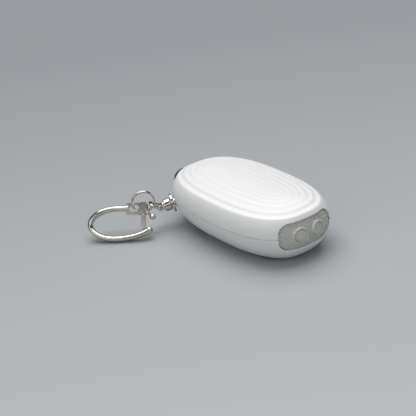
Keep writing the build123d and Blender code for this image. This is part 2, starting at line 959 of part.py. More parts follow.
def make_snap_hook():
    """Snap body: oval-section arm, rounded nose, flat lug with the eye, and the gate's fork."""
    path = snap_path()
    section = Plane(origin=path @ 0, x_dir=(0, 1, 0), z_dir=path % 0)
    arm = sweep(section * Ellipse(snap_arm_width / 2, snap_arm_depth / 2), path=path)
    nose_p, nose_q = nose_place()
    arm += Pos(nose_p, nose_q, 0) * Sphere(snap_nose_diameter / 2)
    lug_p = (lug_left + lug_right) / 2
    lug_q = (lug_bottom + lug_top) / 2
    lug = RectangleRounded(lug_right - lug_left, lug_top - lug_bottom, lug_round)
    lug = extrude(Pos(lug_p, lug_q, -lug_thickness / 2) * lug, lug_thickness)
    fork_p = lug_right - fork_length / 2
    fork = RectangleRounded(fork_length, lug_top - lug_bottom, lug_round)
    lug += extrude(Pos(fork_p, lug_q, -fork_depth / 2) * fork, fork_depth)
    body = arm + lug
    eye = SlotOverall(eye_length, eye_width)
    body -= extrude(Pos(0, 0, -fork_depth) * eye, 2 * fork_depth)
    slot_left = hub_p - hub_radius - gate_spring_gap - gate_spring_thickness - gate_spring_gap
    body -= block((slot_left, lug_bottom - overrun, -fork_slot / 2), (lug_right + overrun, lug_top, fork_slot / 2))
    hole = rivet_diameter / 2
    body -= Pos(hub_p, hub_q, 0) * Cylinder(hole, 2 * fork_depth)
    return snap_plane * body


def make_rivet():
    """Rivet that the gate turns on, headed on both sides of the fork."""
    body = Cylinder(rivet_diameter / 2, fork_depth)
    for side in (-1, 1):
        place = side * (fork_depth + rivet_head_height) / 2
        body += Pos(0, 0, place) * Cylinder(rivet_head_diameter / 2, rivet_head_height)
    return snap_plane * Pos(hub_p, hub_q, 0) * body


def gate_tip_p():
    """Where the gate's tip lies, just inside the nose."""
    nose_p, nose_q = nose_place()
    return nose_p - snap_nose_diameter / 2 - gate_tip_gap - gate_width / 2


def make_gate():
    """Gate: hub between the fork's cheeks, bar down to the nose, and a thumb knob."""
    tip = (gate_tip_p(), gate_tip_q)
    hub = Pos(hub_p, hub_q, 0) * Cylinder(hub_radius, gate_thickness)
    run = sqrt((tip[0] - hub_p) ** 2 + (tip[1] - hub_q) ** 2)
    angle = degrees(atan2(tip[1] - hub_q, tip[0] - hub_p))
    length = run + gate_width
    thin = extrude(Pos(run / 2, 0, -gate_thickness / 2) * SlotOverall(length, gate_width), gate_thickness)
    bar_start = hub_q - lug_bottom + gate_width + gate_tip_gap
    bar_run = run - bar_start
    bar = SlotOverall(bar_run + gate_width, gate_width)
    bar = extrude(Pos(bar_start + bar_run / 2, 0, -gate_bar_depth / 2) * bar, gate_bar_depth)
    body = hub + Pos(hub_p, hub_q, 0) * Rot(0, 0, angle) * (thin + bar)
    knob = Pos(knob_p, knob_q, 0) * Sphere(knob_diameter / 2)
    reach = sqrt((knob_p - hub_p) ** 2 + (knob_q - hub_q) ** 2)
    turn = degrees(atan2(knob_q - hub_q, knob_p - hub_p))
    arm = Pos(hub_p, hub_q, 0) * Rot(0, 0, turn) * Pos(reach / 2, 0, 0) * Box(reach, knob_arm, gate_thickness)
    body += arm + knob
    body -= Pos(hub_p, hub_q, 0) * Cylinder(rivet_diameter / 2 + rivet_clearance, fork_depth)
    return snap_plane * body


def make_gate_spring():
    """Leaf spring in the fork's slot that presses on the gate's hub."""
    left = hub_p - hub_radius - gate_spring_gap - gate_spring_thickness
    low = (left, hub_q - gate_spring_drop, -gate_spring_width / 2)
    high = (left + gate_spring_thickness, lug_top - gate_spring_gap, gate_spring_width / 2)
    return snap_plane * block(low, high)


def make_pin_switch():
    """Spring-contact switch under the board that the pin's tip holds open."""
    tip = along(pin_entry, pin_way, -pin_depth)
    near = tip[1] + trip_gap
    low = (tip[0] - trip_width / 2, near, board_height - trip_height)
    high = (tip[0] + trip_width / 2, near + trip_depth, board_height)
    return block(low, high)


def case_screw(place):
    """One of the screws that hold the covers together."""
    return screw(place, screw_sink, screw_head_height, screw_top()).solid()


def make_parts():
    """Every piece of the alarm under its own name."""
    return {
        "bottom_cover": make_bottom_cover(),
        "top_cover": make_top_cover(),
        "front_lens": make_front_lens(),
        "light_reflector": make_reflector(),
        "led_near": make_lamp(-lamp_spacing / 2),
        "led_far": make_lamp(lamp_spacing / 2),
        "circuit_board": make_board(),
        "siren_chip": make_chip(),
        "step_up_coil": make_coil(),
        "capacitor": make_capacitor(),
        "piezo_plate": make_piezo_plate(),
        "piezo_ceramic": make_piezo_ceramic(),
        "sounder_ring": make_sounder_ring(),
        "battery_cells": make_cells(),
        "battery_contact": make_contact(),
        "battery_spring": make_spring(),
        "battery_door": make_battery_door(),
        "door_screw": screw(door_screw_place, 0, door_screw_head_height, door_screw_tip()),
        "case_screws": Compound([case_screw(place) for place in post_places]),
        "light_button": make_button(),
        "light_switch": make_light_switch(),
        "pin_switch": make_pin_switch(),
        "pin_bush": make_pin_bush(),
        "pull_pin": make_pull_pin(),
        "pin_collar": make_pin_collar(),
        "swivel_barrel": make_barrel(),
        "swivel_link": make_link(),
        "jump_ring": make_jump_ring(),
        "snap_hook": make_snap_hook(),
        "gate_rivet": make_rivet(),
        "snap_gate": make_gate(),
        "gate_spring": make_gate_spring(),
    }


if __name__ == "__main__":
    os.makedirs("parts", exist_ok=True)
    for name, shape in make_parts().items():
        export_step(shape, f"parts/{name}.step")
    places = {
        "pin entry": pin_entry,
        "pin way": pin_way,
        "side way": side_way,
        "link start": link_start,
        "link hold": link_hold,
        "link way": link_way,
        "ring middle": ring_middle,
        "ring way": ring_way,
        "eye place": eye_place,
        "snap way": snap_way,
        "snap up": snap_up,
        "hub place": tuple(snap_plane.from_local_coords((hub_p, hub_q, 0))),
    }
    for name, place in places.items():
        print(name, [round(value, 4) for value in place])
    print("snap tilt", round(degrees(tilt), 2))
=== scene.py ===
import bpy
import numpy as np
from mathutils import Matrix


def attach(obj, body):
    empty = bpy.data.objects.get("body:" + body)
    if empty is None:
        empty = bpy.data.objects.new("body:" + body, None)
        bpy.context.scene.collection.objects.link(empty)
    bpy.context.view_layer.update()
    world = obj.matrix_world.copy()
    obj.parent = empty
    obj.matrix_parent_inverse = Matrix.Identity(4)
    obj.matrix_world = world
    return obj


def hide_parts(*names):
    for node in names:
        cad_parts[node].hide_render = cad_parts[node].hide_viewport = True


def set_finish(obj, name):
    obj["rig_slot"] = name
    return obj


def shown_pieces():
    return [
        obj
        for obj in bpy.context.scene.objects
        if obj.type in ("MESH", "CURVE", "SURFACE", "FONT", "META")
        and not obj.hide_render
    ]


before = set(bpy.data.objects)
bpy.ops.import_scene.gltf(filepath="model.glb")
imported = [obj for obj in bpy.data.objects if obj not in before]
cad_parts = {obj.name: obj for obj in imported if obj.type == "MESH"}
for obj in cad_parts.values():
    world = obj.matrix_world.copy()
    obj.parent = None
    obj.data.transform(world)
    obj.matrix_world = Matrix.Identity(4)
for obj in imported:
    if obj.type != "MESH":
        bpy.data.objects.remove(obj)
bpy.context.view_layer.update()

# %% [markdown]
# # A personal safety alarm, dressed for a photograph
#
# The real object is a moulded pebble of glossy white plastic, with soft ripples round its
# crown, a clear knurled window over two lamps at one end, and a pull pin at the other that
# carries a plated swivel, a jump ring and a trigger snap.
#
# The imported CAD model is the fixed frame. Each step below either dresses a CAD node in a
# better finish or stands a smoother surface in its place. All shapes are worked out in
# millimetres as whole numpy arrays and turned into metres only when a mesh is made.

# %% Sizes, in millimetres
# The crown's section, the lamp rings, the size and height of the key, the roundings of edges
# and the gap at the seam are the scene's own. The rest follows the CAD source.
half_length, half_width, case_height = 35.0, 18.6, 20.3
seam_height, plan_power = 11.0, 2.65
belly_inset, belly_power = 9.66, 1.8
shoulder_radius, rim_inset, rim_softness = 10.3, 2.6, 0.2
ripple_count, ripple_pitch, ripple_shrink = 6, 2.38, 0.68
scallop_power, crest_round = 2.4, 0.26
window_width, window_height, window_radius, window_recess = 21.8, 10.0, 4.1, 0.4
lens_thickness, window_clearance = 1.2, 0.12
lamp_spacing, lamp_radius, lamp_ring_width, lamp_ring_rise = 7.3, 2.4, 0.4, 0.45
button_width, button_height, button_side, button_middle, button_radius = 6.4, 4.6, -6.2, 14.95, 2.2
button_clearance, button_proud, button_depth = 0.2, 0.55, 3.0
post_places = ((20.3, 9.0), (20.3, -9.0), (-14.0, 12.8), (-14.0, -12.8))
screw_head_radius = 1.9
sounder_x, sounder_hole_count, sounder_hole_radius, sounder_circle_radius = 6.2, 6, 1.0, 4.2
door_middle, door_half, door_radius = (-17.1, 0.8), (8.8, 8.2), 2.0
pin_entry = np.array([-26.1152, -14.4922, 9.1738])
pin_way = np.array([-0.4288, -0.8792, -0.2079])
bush_radius = 1.7
bush_reach = 3 * bush_radius    # the bush's gap only holds this near to its mouth
edge_round, cut_depth = 0.25, 1.8    # radius of a cut edge, and how far it runs inwards
seam_gap = 0.08
FAR = 1e3    # gap of an opening for points on the other side of the case
UP = np.array([0.0, 0.0, 1.0])
METRE = 0.001
print(f"case: {2 * half_length:.1f} x {2 * half_width:.1f} x {case_height:.1f} mm")

# %% [markdown]
# ## Tools: grids, openings and meshes
#
# A moulded cover is one skin with openings cut in it. A regular grid of points gives the
# skin; each opening is described by a signed gap, negative inside it. The grid points next
# to an outline slide onto it, the triangles inside are dropped, and a small quarter round
# turns the cut edge inwards, as the mould's radius does on the real cover. Boolean cutters
# could make the openings too, but they leave slivers and hard edges.


# %% Slopes and outlines
def unit(vectors, least=1e-9):
    """Vectors divided by their length along the last axis; least keeps a zero one finite."""
    return vectors / np.maximum(np.linalg.norm(vectors, axis=-1, keepdims=True), least)


def slopes(function, points, step=1e-4):
    """Gradient of a function of points, by central differences along x, y and z."""
    moves = np.eye(3) * step
    return np.stack([(function(points + m) - function(points - m)) / (2 * step) for m in moves], -1)


newton_steps, newton_reach = 6, 1e-5
flat_row = 1e-6    # a row whose y spreads less than this is folded flat, in millimetres
least_slope = 1e-12    # keeps the Newton step finite where the gap is level


def snap_to_outline(surface, gap, u, v, wrap):
    """Slides the grid points beside an outline onto it; returns u, v and which ones moved.

    Where the gap changes sign between two neighbours, the nearer one goes down the gap's
    slope in (u, v) by Newton steps, (u, v) - gap * slope / |slope|^2, until the gap is 0.
    The first and last rows keep their v. Where one of them is folded flat, a point and its
    mirror image slide alike.
    """
    near = gap(surface(u, v))
    ring = np.pad(near, ((1, 1), (0, 0)), mode="edge")
    ring = np.pad(ring, ((0, 0), (1, 1)), mode="wrap" if wrap else "edge")
    moved = np.zeros(u.shape, bool)
    for other in (ring[:-2, 1:-1], ring[2:, 1:-1], ring[1:-1, :-2], ring[1:-1, 2:]):
        moved |= (near * other < 0) & (np.abs(near) <= np.abs(other))
    if wrap:
        mirror = -np.arange(u.shape[1]) % u.shape[1]
        for row in (0, -1):
            if np.ptp(surface(u, v)[row, :, 1]) < flat_row:
                moved[row] |= moved[row, mirror]
    inner = np.ones((u.shape[0], 1))
    inner[[0, -1]] = 0
    for _ in range(newton_steps):
        near = gap(surface(u, v))
        du = (gap(surface(u + newton_reach, v)) - near) / newton_reach
        dv = (gap(surface(u, v + newton_reach)) - near) / newton_reach * inner
        move = np.where(moved, near / (du ** 2 + dv ** 2 + least_slope), 0)
        u, v = u - move * du, v - move * dv
    return u, v, moved


# %% Cut surface
def quads(index):
    """Quads of a grid of point numbers, as rows of four corners in turn."""
    corners = (index[:-1, :-1], index[:-1, 1:], index[1:, 1:], index[1:, :-1])
    return np.stack([k.ravel() for k in corners], 1)


def cut_surface(surface, gap, u, v, wrap=True, zip_row=None):
    """Points and triangles of a surface with the parts where the gap is negative cut out.

    wrap closes the grid round in u. zip_row is a row whose points lie on a ridge line, twice
    each; it is closed by giving both columns the same point.
    """
    u, v = np.meshgrid(u, v)
    u, v, moved = snap_to_outline(surface, gap, u, v, wrap)
    points = surface(u, v).reshape(-1, 3)
    index = np.arange(u.size).reshape(u.shape)
    if zip_row is not None:
        columns = np.arange(u.shape[1])
        index[zip_row] = index[zip_row, np.minimum(columns, -columns % u.shape[1])]
    if wrap:
        index = np.hstack([index, index[:, :1]])
    a, b, c, d = quads(index).T
    moved = moved.ravel()
    split = (moved[a] & moved[c])[:, None]
    first = np.where(split, np.stack([a, b, c], 1), np.stack([a, b, d], 1))
    second = np.where(split, np.stack([a, c, d], 1), np.stack([b, c, d], 1))
    triangles = np.concatenate([first, second])
    whole = (triangles != np.roll(triangles, 1, 1)).all(1)
    kept = whole & (gap(points[triangles].mean(1)) > 0)
    triangles = triangles[kept]
    used, triangles = np.unique(triangles, return_inverse=True)
    return points[used], triangles.reshape(-1, 3)


# %% Edges
def open_edges(triangles, count):
    """Directed edges that only one triangle has, as rows (from, to)."""
    edges = np.concatenate([triangles[:, [0, 1]], triangles[:, [1, 2]], triangles[:, [2, 0]]])
    code, back = edges[:, 0] * count + edges[:, 1], edges[:, 1] * count + edges[:, 0]
    return edges[~np.isin(code, back)]


def strip(low, high):
    """Triangles between two rows of edges (from, to) whose points pair up."""
    return np.concatenate([
        np.stack([low[:, 1], low[:, 0], high[:, 0]], 1),
        np.stack([low[:, 1], high[:, 0], high[:, 1]], 1),
    ])


def turn_edge(points, triangles, across, inward, radius, depth, steps=4):
    """Rounds the open edge and runs it inwards; returns points and triangles.

    Row k lies at radius * sin(t) across and radius * (1 - cos(t)) inward of the edge, with
    t from 0 to a right angle, and the last row is depth inward.
    """
    edges = open_edges(triangles, len(points))
    rim = np.unique(edges)
    across, inward = across(points[rim]), inward(points[rim])
    turns = np.linspace(0, np.pi / 2, steps + 1)[1:]
    moves = [(radius * np.sin(t), radius * (1 - np.cos(t))) for t in turns] + [(radius, depth)]
    rows = [points[rim] + across * out + inward * down for out, down in moves]
    place = np.searchsorted(rim, edges)
    low, parts = edges, [triangles]
    for k in range(len(rows)):
        high = place + len(points) + k * len(rim)
        parts.append(strip(low, high))
        low = high
    return np.concatenate([points, *rows]), np.concatenate(parts)


# %% Pieces
def piece(name, points, faces, body, slot, *nodes):
    """Smooth mesh from millimetre points that rides on a body and replaces CAD nodes."""
    mesh = bpy.data.meshes.new(name)
    mesh.from_pydata(points * METRE, [], faces)
    mesh.polygons.foreach_set("use_smooth", np.ones(len(faces), bool))
    mesh.update()
    made = bpy.data.objects.new(name, mesh)
    bpy.context.scene.collection.objects.link(made)
    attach(made, body)
    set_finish(made, slot)
    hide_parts(*nodes)
    size = " x ".join(f"{reach:.1f}" for reach in np.ptp(points, axis=0))
    print(f"{name}: {len(points)} points, {len(faces)} faces, {size} mm")


# %% [markdown]
# ## The case skin
#
# The real case is two injection-moulded halves. Every height of it is the same rounded
# plan outline, set in by a different amount, so the whole skin is one profile (inset,
# height) carried round one outline. The belly is a superelliptic quarter. The shoulder is
# part of a circle, and from its rim the crown climbs in six scallops, each lower than the
# last, as ripples do: every one sweeps up from level and ends in a polished crest. Sculpting
# could give such ripples too, but a formula keeps every ring even and at its true size.


# %% Outline and profile formulas
def outline(inset, turn):
    """Point of |x / a|^n + |y / b|^n = 1 in direction turn, both halves less the inset."""
    c, s = np.cos(turn), np.sin(turn)
    size = (np.abs(c) ** plan_power + np.abs(s) ** plan_power) ** (1 / plan_power)
    return (half_length - inset) * c / size, (half_width - inset) * s / size


def even(table, count=4000):
    """Profile table resampled at even arc length, as a function of a share from 0 to 1."""
    length = np.r_[0, np.cumsum(np.hypot(*np.diff(table, axis=0).T))]
    share = np.linspace(0, 1, count)
    fine = np.stack([np.interp(share * length[-1], length, column) for column in table.T], 1)
    return lambda v: (np.interp(v, share, fine[:, 0]), np.interp(v, share, fine[:, 1]))


def crown(inset):
    """Height over the crown: scallops that sweep up from level to a crest, ring after ring.

    Scallop i climbs by step_i * t^power, with t from 0 to 1 over its width, and each step is
    a fixed share of the one outside it.
    """
    ring = np.arange(ripple_count)[:, None]
    left = ripple_shrink ** ring
    step = (case_height - rim_height) * left / left.sum()
    t = np.clip((inset - rim_inset) / ripple_pitch - ring, 0, 1)
    return rim_height + (step * t ** scallop_power).sum(0)


def polished(height_of, inset, samples=41):
    """Mean of a height over crest_round, weighted (1 + cos) / 2, as polish rounds a crest."""
    share = np.linspace(-1, 1, samples)
    weights = (1 + np.cos(np.pi * share)) / 2
    spread = inset[:, None] + share * crest_round / 2
    return height_of(spread.ravel()).reshape(spread.shape) @ weights / weights.sum()


def rounded_lower(a, b, softness):
    """Smooth minimum -k log(exp(-a / k) + exp(-b / k)): the lower of two, corner rounded."""
    return -softness * np.logaddexp(-a / softness, -b / softness)


def belly_arc(turns):
    """Inset and height of the belly at turns from 0 on the floor to pi / 2 at the seam.

    The inset is belly_inset * (1 - sin^(2 / n)), the height seam_height * (1 - cos^(2 / n)).
    """
    inset = belly_inset * (1 - np.sin(turns) ** (2 / belly_power))
    return inset, seam_height * (1 - np.cos(turns) ** (2 / belly_power))


# %% Profiles of the two covers
shoulder_samples, crown_samples, belly_samples = 300, 1500, 600
rim_turn = np.arccos(1 - rim_inset / shoulder_radius)
rim_height = seam_height + shoulder_radius * np.sin(rim_turn)
start = np.arcsin((edge_round + seam_gap / 2) / shoulder_radius)
inset = np.r_[
    shoulder_radius * (1 - np.cos(np.linspace(start, rim_turn, shoulder_samples)[:-1])),
    np.linspace(rim_inset, half_width, crown_samples),
]
arc = 1 - np.minimum(inset / shoulder_radius, 1)
shoulder = seam_height + shoulder_radius * np.sqrt(1 - arc ** 2)
height = rounded_lower(shoulder, polished(crown, inset), rim_softness)
top_profile = even(np.stack([inset, height], 1))

belly = np.stack(belly_arc(np.linspace(0, np.pi / 2, belly_samples)), 1)
belly = belly[belly[:, 1] < seam_height - edge_round - seam_gap / 2]
belly_profile = even(np.concatenate([[[half_width, 0]], belly]))
crown_rise = case_height - rim_height
print(f"rim {rim_height:.2f} mm up, crown {crown_rise:.2f} mm more, top {height.max():.2f} mm")


# %% [markdown]
# ## Openings in the case
#
# Each opening is a straight prism: the lamp window along X across the seam, the light
# button's slot at the back, the battery door, the screw holes and the sound holes from
# below, and the bush that the pull pin slides in. Each is a function of the point, so the
# cut, its rounding and the key that fills the slot all follow the same outline.


# %% Gaps of the openings
def box_gap(across, up, half_across, half_up, radius):
    """Signed distance to a rounded rectangle round the origin, negative inside."""
    p, q = np.abs(across) - half_across + radius, np.abs(up) - half_up + radius
    return np.hypot(np.maximum(p, 0), np.maximum(q, 0)) + np.minimum(np.maximum(p, q), 0) - radius


def window_gap(points):
    """Gap of the lamp window, seen along X."""
    x, y, z = np.moveaxis(points, -1, 0)
    gap = box_gap(y, z - seam_height, window_width / 2, window_height / 2, window_radius)
    return np.where(x > 0, gap, FAR)


def button_gap(points):
    """Gap of the light button's slot, seen along X."""
    x, y, z = np.moveaxis(points, -1, 0)
    half = button_width / 2 + button_clearance, button_height / 2 + button_clearance
    gap = box_gap(y - button_side, z - button_middle, *half, button_radius + button_clearance)
    return np.where(x < 0, gap, FAR)


def bush_gap(points):
    """Gap of the pin's bush: distance from the pin's line less the bush's radius."""
    offset = points - pin_entry
    aside = offset - (offset @ pin_way)[..., None] * pin_way
    near = np.linalg.norm(offset, axis=-1) < bush_reach
    return np.where(near, np.linalg.norm(aside, axis=-1) - bush_radius, FAR)


def underside_gap(points):
    """Smallest gap of the battery door, the screw holes and the sound holes."""
    x, y, z = np.moveaxis(points, -1, 0)
    gap = box_gap(x - door_middle[0], y - door_middle[1], *door_half, door_radius)
    for px, py in post_places:
        gap = np.minimum(gap, np.hypot(x - px, y - py) - screw_head_radius)
    around = np.linspace(0, 2 * np.pi, sounder_hole_count, endpoint=False)
    circle = sounder_circle_radius * np.stack([np.cos(around), np.sin(around)], 1)
    for px, py in [(0, 0), *circle]:
        gap = np.minimum(gap, np.hypot(x - sounder_x - px, y - py) - sounder_hole_radius)
    return np.where(z < seam_height / 2, gap, FAR)


def opening_gaps(points):
    """Gaps of the window, the key's slot, the bush and the underside, one after the other."""
    return [gap(points) for gap in (window_gap, button_gap, bush_gap, underside_gap)]


def cover_gap(points):
    """Smallest gap of all openings, less the radius that rounds their edges."""
    return np.min(opening_gaps(points), axis=0) - edge_round


print(f"gap in the middle of the bush: {float(bush_gap(pin_entry)):.1f} mm")


# %% Ways of the cut edges
def cover_inward(points):
    """Way in at each edge point: along the opening's prism, or level at the seam.

    The edge of an opening lies edge_round from it, so what is twice as far is the seam.
    """
    x, y = points.T[:2]
    level = unit(np.stack([x / half_length ** 2, y / half_width ** 2, 0 * x], 1))
    ways = [(-1, 0, 0), (1, 0, 0), -pin_way, (0, 0, 1), -level]
    gaps = [*opening_gaps(points), np.full(len(points), 2 * edge_round)]
    nearest = np.argmin(gaps, axis=0)
    ways = np.stack([np.broadcast_to(way, points.shape) for way in ways])
    return ways[nearest, np.arange(len(points))]


def cover_across(points):
    """Way across at each edge point: into the opening, or towards the seam."""
    slope = -slopes(cover_gap, points)
    towards_seam = np.sign(seam_height - points[:, 2])
    seam = np.stack([0 * towards_seam, 0 * towards_seam, towards_seam], 1)
    at_seam = cover_gap(points) > edge_round / 2
    return np.where(at_seam[:, None], seam, unit(slope))


# %% Covers
around_points, top_rows, bottom_rows = 640, 134, 100


def skin_of(profile):
    """Surface that carries a profile round the outline: (u, v) from 0 to 1 to points."""
    def surface(u, v):
        inset, height = profile(v)
        x, y = outline(inset, 2 * np.pi * u)
        return np.stack([x, y, height + 0 * x], -1)
    return surface


def cover(profile, rows, ridge):
    """Cut skin of a cover with turned edges; ridge is its row that folds flat."""
    u, v = np.linspace(0, 1, around_points, endpoint=False), np.linspace(0, 1, rows)
    points, faces = cut_surface(skin_of(profile), cover_gap, u, v, zip_row=ridge)
    return turn_edge(points, faces, cover_across, cover_inward, edge_round, cut_depth)


piece("top_cover_skin", *cover(top_profile, top_rows, -1), "case", "white_case", "top_cover")
piece("bottom_cover_skin", *cover(belly_profile, bottom_rows, 0), "case", "white_case", "bottom_cover")

# %% [markdown]
# ## The clear window
#
# The real window is one clear moulding that follows the case's rounded front. It is knurled
# into small pyramids that spread the lamps' light, apart from a smooth eye with a raised
# ring in front of each lamp. A knurl on the back of a clear front would be truer, but it
# came out as plain dark grey. On the outer face its upper facets catch light from above,
# which makes the window look silvery.


# %% Front of the window
def end_arc(half):
    """Middle and radius of the arc through the outline's end and its points at y = +-half.

    The outline falls back by a drop there, and the radius is (half^2 + drop^2) / (2 * drop).
    """
    drop = half_length * (1 - (1 - (half / half_width) ** plan_power) ** (1 / plan_power))
    radius = (half ** 2 + drop ** 2) / (2 * drop)
    return half_length - radius, radius


arc_middle, arc_radius = end_arc(window_width / 2)
print(f"front arc: radius {arc_radius:.1f} mm about x = {arc_middle:.1f} mm")


def front_face(recess):
    """Turned front, a recess behind the case, as a function of y and z.

    The section is the shoulder's circle less the recess. Its reach at z, turned round the
    front arc's middle, gives x = middle + sqrt(reach^2 - y^2).
    """
    def surface(y, z):
        side = shoulder_radius - recess(y, z)
        reach = arc_radius - shoulder_radius + np.sqrt(side ** 2 - (z - seam_height) ** 2)
        return np.stack([arc_middle + np.sqrt(reach ** 2 - y ** 2), y, z], -1)
    return surface


def lamp_distance(y, z):
    """Distance from the nearer lamp's axis."""
    return np.hypot(np.abs(y) - lamp_spacing / 2, z - seam_height)


def lens_gap(points):
    """Gap that is positive inside the window's outline, less its running clearance."""
    return -window_gap(points) - window_clearance


# %% Window
knurl_pitch, knurl_depth, knurl_fade, lens_round = 1.15, 0.48, 0.3, 0.15
lens_back_spare = 0.1    # the inner face stays this much in front of the CAD's
lens_margin, lens_columns, lens_rows = 0.3, 300, 144


def lens_front(y, z):
    """Recess of the outer face with its knurl and lamp rings.

    The recess grows with max(|p|, |q|) from the middle of each square of a diagonal grid,
    which leaves a pyramid. The pyramids fade out round each lamp and at the edge. Round each
    lamp runs a ring raised by (1 + cos) / 2, with a groove of the same form inside it.
    """
    p, q = (y + z) / knurl_pitch, (y - z) / knurl_pitch
    pyramid = 2 * np.maximum(np.abs(p % 1 - 0.5), np.abs(q % 1 - 0.5))
    from_ring = lamp_distance(y, z) - lamp_radius - lamp_ring_width
    from_edge = lens_gap(np.stack([0 * y + 1, y, z], -1))
    share = np.clip(np.minimum(from_ring, from_edge) / knurl_fade, 0, 1)
    ring = np.clip(2 * from_ring / lamp_ring_width + 1, -1, 1)
    groove = np.clip(2 * from_ring / lamp_ring_width + 3, -1, 1)
    ring_lift = lamp_ring_rise * (np.cos(np.pi * ring) - np.cos(np.pi * groove)) / 2
    return window_recess + knurl_depth * pyramid * share - ring_lift


def lens_back(y, z):
    """Recess of the smooth inner face: the outer one's and the thickness, less the spare."""
    return window_recess + lens_thickness - lens_back_spare + 0 * y


def rounded_lens_gap(points):
    """The lens's gap less the radius of its edge."""
    return lens_gap(points) - lens_round


reach_y, reach_z = window_width / 2 + lens_margin, window_height / 2 + lens_margin
grid_y = np.linspace(-reach_y, reach_y, lens_columns)
grid_z = np.linspace(seam_height - reach_z, seam_height + reach_z, lens_rows)
front, faces = cut_surface(front_face(lens_front), rounded_lens_gap, grid_y, grid_z, wrap=False)
back = front_face(lens_back)(front[:, 1], front[:, 2])
edges = open_edges(faces, len(front))
wall = strip(edges, edges + len(front))
piece(
    "window_lens", np.concatenate([front, back]),
    np.concatenate([faces, faces[:, ::-1] + len(front), wall]), "case", "clear_window", "front_lens",
)

# %% [markdown]
# ## The light button
#
# A dark soft-touch key that follows the case's back end and stands half a millimetre
# proud of it, so that a thumb finds it without looking. A block with rounded corners would
# be simpler, but the case's own skin, moved out and cut to the slot, bends with the case.


# %% Skin of the key
key_samples, button_round = 400, 0.5
turns = np.linspace(0, np.pi / 2, key_samples)
low_inset, low_height = belly_arc(turns)
high_inset = shoulder_radius * (1 - np.cos(turns[1:]))
high_height = seam_height + (shoulder_radius + button_proud) * np.sin(turns[1:])
key_inset, key_height = np.r_[low_inset, high_inset] - button_proud, np.r_[low_height, high_height]
key_profile = even(np.stack([key_inset, key_height], 1))
print(f"key skin: {key_height.max() - key_height.min():.2f} mm high")


# %% Button
back_turns, upper_shares = (0.3, 0.7), (0.3, 1.0)    # the part of the skin that holds the key
key_columns, key_rows = 300, 220


def key_gap(points):
    """Gap that is positive inside the key's outline, less its edge radius."""
    return -button_gap(points) - button_clearance - button_round


def key_across(points):
    """Way across at the key's edge: out to its outline."""
    return unit(-slopes(key_gap, points))


def key_inward(points):
    """Way in at the key's edge: along X into the case."""
    return np.broadcast_to((1.0, 0, 0), points.shape)


u, v = np.linspace(*back_turns, key_columns), np.linspace(*upper_shares, key_rows)
points, faces = cut_surface(skin_of(key_profile), key_gap, u, v, wrap=False)
points, faces = turn_edge(points, faces, key_across, key_inward, button_round, button_depth, steps=6)
piece("light_button_key", points, faces, "light_button", "dark_button", "light_button")

# %% [markdown]
# ## Swivel link and jump ring
#
# Both are bent from round wire: the link is a closed rounded rectangle through the
# barrel's tongue, and the ring a plain circle. A tube is swept round each closed line. A
# bevelled curve would do as well, but here the section's two ways are known by formula.


# %% Wire parts
side_way = np.array([0.8988, -0.4384, 0.0])
link_start = np.array([-28.4307, -19.2396, 8.0511])
link_way = np.array([-0.3796, -0.7784, 0.5])
link_length, link_width, link_round, link_wire = 4.2, 3.4, 0.95, 1.0
ring_middle = np.array([-30.9496, -24.8258, 11.429])
ring_way = np.array([0.3907, 0.9205, 0.0])
ring_radius, ring_wire, ring_points = 4.0, 0.8, 160
# The link lies in the plane of link_way and side_way, the ring in that of ring_way and UP.


def tube(line, out, lift, radius, sides=28):
    """Round tube along a closed line: line + radius * (out * cos(turn) + lift * sin(turn)).

    out and lift are unit ways across the wire at each point.
    """
    turn = np.linspace(0, 2 * np.pi, sides, endpoint=False)[None, :, None]
    section = out[:, None] * np.cos(turn) + lift * np.sin(turn)
    index = np.arange(len(line) * sides).reshape(-1, sides)
    return (line[:, None] + radius * section).reshape(-1, 3), quads(np.pad(index, (0, 1), mode="wrap"))


def closed_link(origin, way, side, length, width, corner, steps=16):
    """Line and outward ways of a rounded rectangle that runs from its origin along a way.

    Each corner is a quarter circle of so many steps, and the straights join them.
    """
    turn = (np.arange(4)[:, None] * np.pi / 2 + np.linspace(0, np.pi / 2, steps)).ravel()
    signs = np.repeat([[1, 1], [0, 1], [0, -1], [1, -1]], steps, axis=0)
    p = np.where(signs[:, 0] > 0, length - corner, corner) + corner * np.cos(turn)
    q = signs[:, 1] * (width / 2 - corner) + corner * np.sin(turn)
    line = origin + p[:, None] * way + q[:, None] * side
    return line, np.cos(turn)[:, None] * way + np.sin(turn)[:, None] * side


lift = np.cross(link_way, side_way)
line, out = closed_link(link_start, link_way, side_way, link_length, link_width, link_round)
piece(
    "swivel_link_wire", *tube(line, out, lift, link_wire / 2),
    "swivel_link", "chain_metal", "swivel_link",
)

turn = np.linspace(0, 2 * np.pi, ring_points, endpoint=False)[:, None]
out = ring_way * np.cos(turn) + UP * np.sin(turn)
lift = np.cross(ring_way, UP)
piece(
    "jump_ring_wire", *tube(ring_middle + ring_radius * out, out, lift, ring_wire / 2),
    "jump_ring", "chain_metal", "jump_ring",
)

# %% [markdown]
# ## Finishes
#
# Every finish is a small node tree on object coordinates. Its colour drifts a little, its
# gloss varies, and a fine bump stands for the surface of the mould or the polish. Painted
# images could hold the same marks, but they need unwrapped surfaces, and noise needs none.


# %% Finish builder
def linear(hex_colour):
    """Linear RGBA of an sRGB hex colour: ((c + 0.055) / 1.055)^2.4, or c / 12.92 near 0."""
    c = np.array([int(hex_colour[i:i + 2], 16) for i in (1, 3, 5)]) / 255
    return (*np.where(c > 0.04045, ((c + 0.055) / 1.055) ** 2.4, c / 12.92), 1.0)


def add(tree, kind, links=None, **settings):
    """Node of a kind with settings on it; links give an input a socket or a plain value."""
    node = tree.nodes.new(kind)
    for name, value in settings.items():
        setattr(node, name, value)
    for name, value in (links or {}).items():
        socket = node.inputs[name]
        if isinstance(value, bpy.types.NodeSocket):
            tree.links.new(value, socket)
        else:
            socket.default_value = value
    return node


